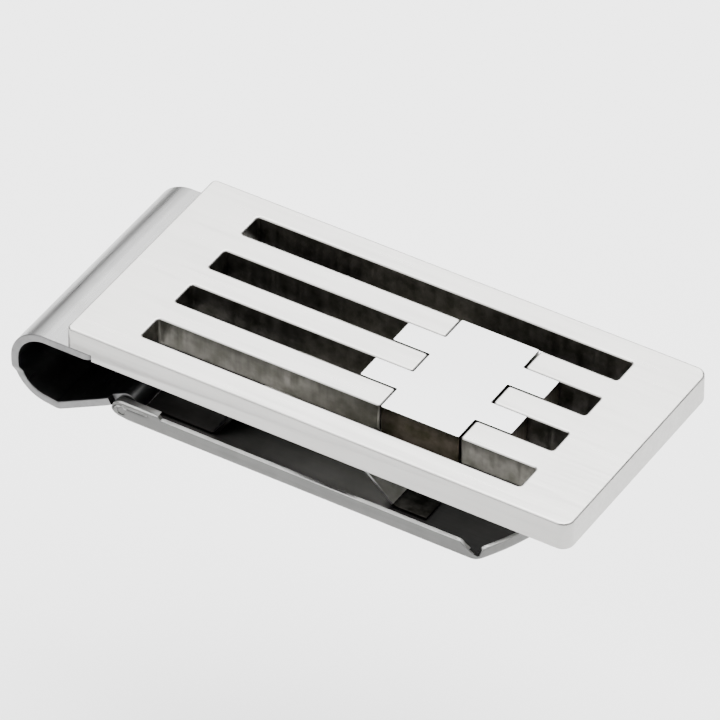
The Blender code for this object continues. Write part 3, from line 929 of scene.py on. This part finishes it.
wear(make_face_plate(), satin, "face_plate", "face",
     [(lit_wall, in_front_slot), (slot_wall_shaded, in_slots), (shaded_underside, faces_down)])
wear(make_inlay_block(), polished, "inlay_block", "face", [(shaded_block_wall, is_upright), (shaded_underside, faces_down)])
wear(make_rod("hinge_pin_fine", PIN_RADIUS, PIN_HALF, PIN_EDGE), drawn, "hinge_pin", "loop_end")
wear(make_clamp_arm(), arm_steel_shaded, "clamp_arm", "arm", [(arm_inside_shaded, inside_arm), (arm_top_highlight, faces_up_highlight)])
wear(make_leaf_spring(), rolled, "leaf_spring", "arm",
     [(leaf_shaded, leaf_near_hinge), (welded_shaded_foot, leaf_foot), (leaf_edge_highlight, on_strip_edge)])
loop = wear(make_spring_loop(), spring, "spring_loop", None,
            [(spring_edge, on_strip_edge), (spring_shaded, inside_loop), (spring_shaded, on_arm_leg)])
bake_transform(loop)


# ---------------------------------------------------------------- studio

FLOOR_REACH = 3.0
FLOOR_LEVEL = -0.047
FLOOR_WHITE = (0.92, 0.92, 0.92, 1.0)
FLOOR_ROUGHNESS = 0.9
WORLD_STRENGTH = 0.3
CAMERA_BACK = (0.3995, -0.6524, 0.6440)
CAMERA_RIGHT = (0.8528, 0.5222, 0.0)
CAMERA_TARGET = (24.9, 10.8 - HALF_WIDTH, -0.7)
CAMERA_DISTANCE = 0.8
CAMERA_LENS = 439.3


def area_light(name, position, target, size, power):
    data = bpy.data.lights.new(name, "AREA")
    data.size = size
    data.energy = power
    light = bpy.data.objects.new(name, data)
    light.location = position
    light.rotation_euler = (Vector(target) - Vector(position)).to_track_quat("-Z", "Y").to_euler()
    bpy.context.scene.collection.objects.link(light)


def make_floor():
    mesh = bpy.data.meshes.new("studio_floor")
    low, high = -FLOOR_REACH, FLOOR_REACH
    corners = [(x, y, FLOOR_LEVEL) for x, y in ((low, low), (high, low), (high, high), (low, high))]
    mesh.from_pydata(corners, [], [(0, 1, 2, 3)])
    floor = bpy.data.objects.new("studio_floor", mesh)
    bpy.context.scene.collection.objects.link(floor)
    material = bpy.data.materials.new("white_sweep")
    material.use_nodes = True
    shader = material.node_tree.nodes["Principled BSDF"]
    shader.inputs["Base Color"].default_value = FLOOR_WHITE
    shader.inputs["Roughness"].default_value = FLOOR_ROUGHNESS
    mesh.materials.append(material)


def make_world():
    world = bpy.data.worlds.new("studio")
    bpy.context.scene.world = world
    world.use_nodes = True
    background = world.node_tree.nodes["Background"]
    background.inputs["Color"].default_value = (1.0, 1.0, 1.0, 1.0)
    background.inputs["Strength"].default_value = WORLD_STRENGTH


def make_camera():
    """The view from above the front long side, turned towards the plate's free end."""
    back = Vector(CAMERA_BACK).normalized()
    right = Vector(CAMERA_RIGHT).normalized()
    up = back.cross(right)
    right = up.cross(back)
    data = bpy.data.cameras.new("camera")
    data.sensor_width = 36.0
    data.lens = CAMERA_LENS
    data.clip_start = 0.01
    data.clip_end = 50.0
    camera = bpy.data.objects.new("camera", data)
    turn = Matrix((right, up, back)).transposed().to_4x4()
    camera.matrix_world = Matrix.Translation(TO_ROW @ Vector(CAMERA_TARGET) + back * CAMERA_DISTANCE) @ turn
    bpy.context.scene.collection.objects.link(camera)
    bpy.context.scene.camera = camera


make_floor()
make_world()
area_light("back_softbox", position=(-0.44, 0.72, 0.71), target=(0.0, 0.0, 0.0), size=0.9, power=13.0)
area_light("front_fill", position=(-0.40, -0.65, 0.65), target=(0.0, 0.0, 0.0), size=0.7, power=7.0)
area_light("overhead", position=(0.0, 0.35, 1.25), target=(0.0, 0.2, 0.0), size=1.5, power=75.0)
make_camera()
